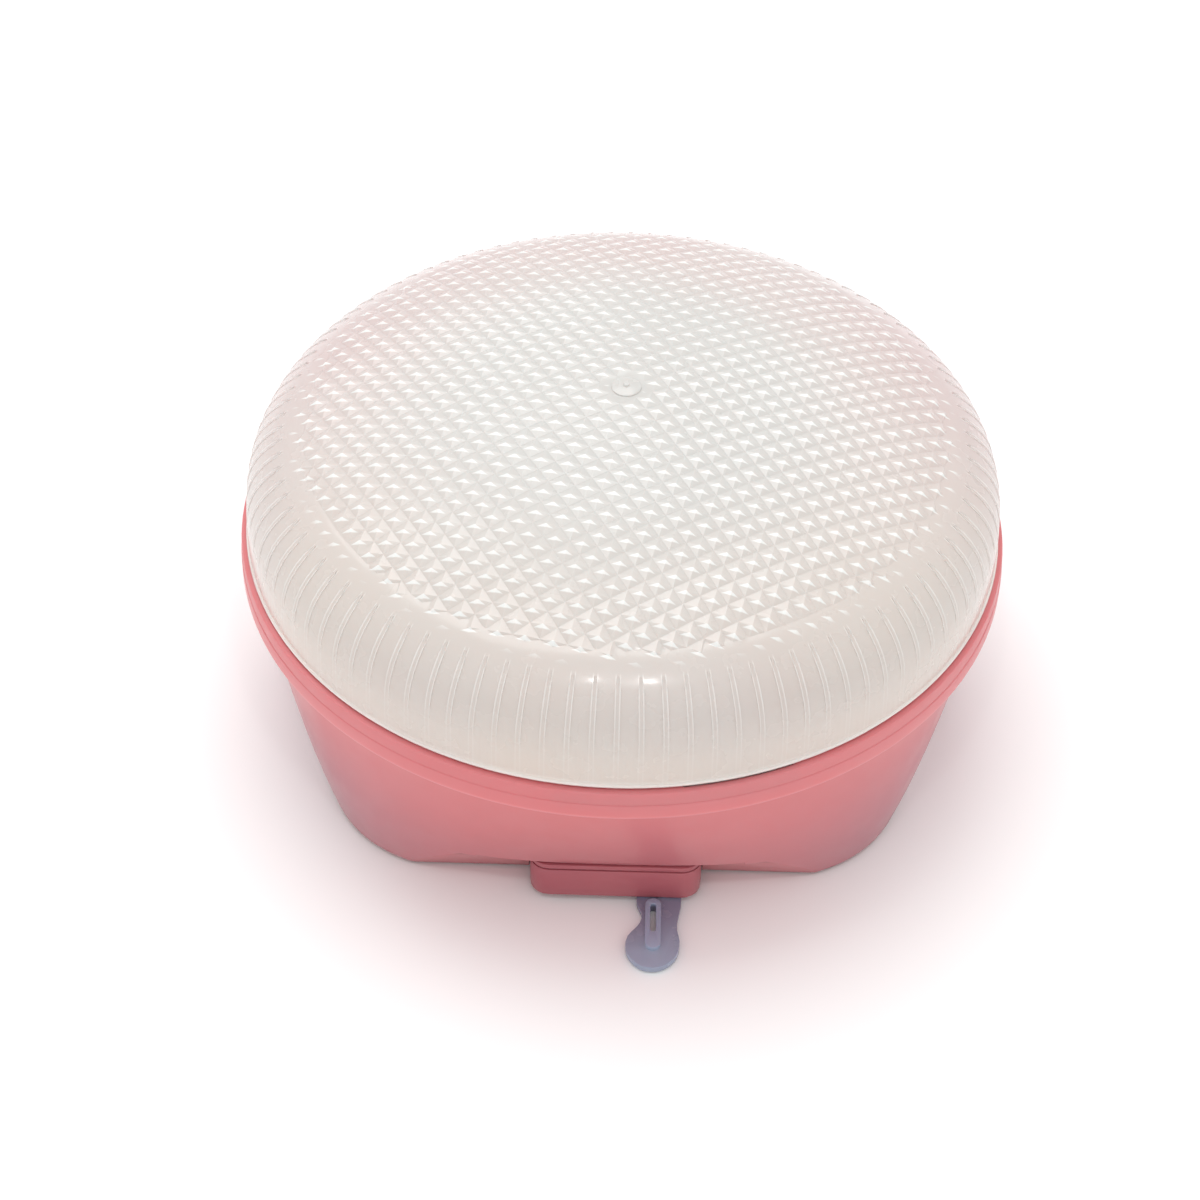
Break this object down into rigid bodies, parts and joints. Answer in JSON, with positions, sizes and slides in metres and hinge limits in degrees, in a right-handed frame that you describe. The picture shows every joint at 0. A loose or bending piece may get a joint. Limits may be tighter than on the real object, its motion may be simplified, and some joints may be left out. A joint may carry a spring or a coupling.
{
  "type": "pull switch dome lamp",
  "caption": "Battery dome lamp with a prismatic milky lens on a translucent pink housing, worked by a pull tab on a ratchet switch in its lower edge.",
  "frame": {"origin": "the middle of the flat back, on the lens's axis", "axes": "+Z from the flat back out to the lens, +X to the right, -Y down the wall, the way the tab is pulled"},
  "size_m": [0.1206, 0.1245, 0.0611],
  "materials": {
    "pink_shell": "translucent pink moulded plastic, fine satin",
    "pink_base": "the same pink plastic, darker where it is thick, fine texture",
    "milky_lens": "milky translucent plastic with small moulded prisms",
    "lilac_tab": "translucent lilac plastic",
    "white_plastic": "white moulded plastic",
    "board": "green solder mask",
    "led_clear": "clear epoxy with yellow phosphor",
    "resistor": "tan coating with plain bands",
    "cell_sleeve": "plain blue sleeve with a nickel end",
    "nickel": "nickel-plated spring steel",
    "brass": "bright brass strip",
    "steel": "zinc-plated steel",
    "wire_red": "red insulation",
    "wire_black": "black insulation"
  },
  "bodies": {
    "root": {"housing": "pink_shell", "rear_cover": "pink_base", "switch_box": "pink_base", "switch_lid": "pink_base", "switch_shaft": "steel", "detent_leaf": "brass", "contact_leaf_inner": "brass", "contact_leaf_outer": "brass", "battery_tray": "white_plastic", "battery_cell_1": "cell_sleeve", "battery_cell_2": "cell_sleeve", "battery_cell_3": "cell_sleeve", "battery_spring_1": "nickel", "battery_spring_2": "nickel", "battery_spring_3": "nickel", "contact_bridge_left": "nickel", "contact_bridge_right": "nickel", "terminal_negative": "nickel", "terminal_positive": "nickel", "reflector": "white_plastic", "led_board": "board", "led_1": "led_clear", "led_2": "led_clear", "led_3": "led_clear", "led_4": "led_clear", "resistor": "resistor", "board_screw_1": "steel", "board_screw_2": "steel", "cover_screw_1": "steel", "cover_screw_2": "steel", "cover_screw_3": "steel", "cover_screw_4": "steel", "switch_screw_1": "steel", "switch_screw_2": "steel", "wire_negative": "wire_black", "wire_positive": "wire_red", "wire_switched": "wire_red", "return_spring": "steel"},
    "lens": {"lens": "milky_lens"},
    "door": {"battery_door": "pink_base"},
    "pull": {"pull_tab": "lilac_tab", "pull_slider": "white_plastic"},
    "pinion": {"drive_pinion": "white_plastic"},
    "ratchet": {"ratchet_wheel": "white_plastic"}
  },
  "joints": [
    {"name": "tab_pull", "type": "slide", "parent": "root", "child": "pull", "axis": [0, -1, 0], "range_m": [0, 0.006], "stiffness_N_per_m": 400, "springref_m": -0.002, "deforming": ["return_spring"]},
    {"name": "pinion_turn", "type": "hinge", "parent": "root", "child": "pinion", "pos_m": [0.0006, -0.036, 0.0037], "axis": [0, 0, 1], "range_deg": [-90, 0]},
    {"name": "ratchet_turn", "type": "hinge", "parent": "root", "child": "ratchet", "pos_m": [0.0006, -0.036, 0.0055], "axis": [0, 0, 1], "continuous": true},
    {"name": "lens_twist", "type": "hinge", "parent": "root", "child": "lens", "pos_m": [0, 0, 0.0348], "axis": [0, 0, 1], "range_deg": [0, 18]},
    {"name": "door_slide", "type": "slide", "parent": "root", "child": "door", "axis": [0, 1, 0], "range_m": [0, 0.038]}
  ],
  "couplings": [
    {"joint": "pinion_turn", "follows": "tab_pull", "rad_per_m": -250}
  ]
}
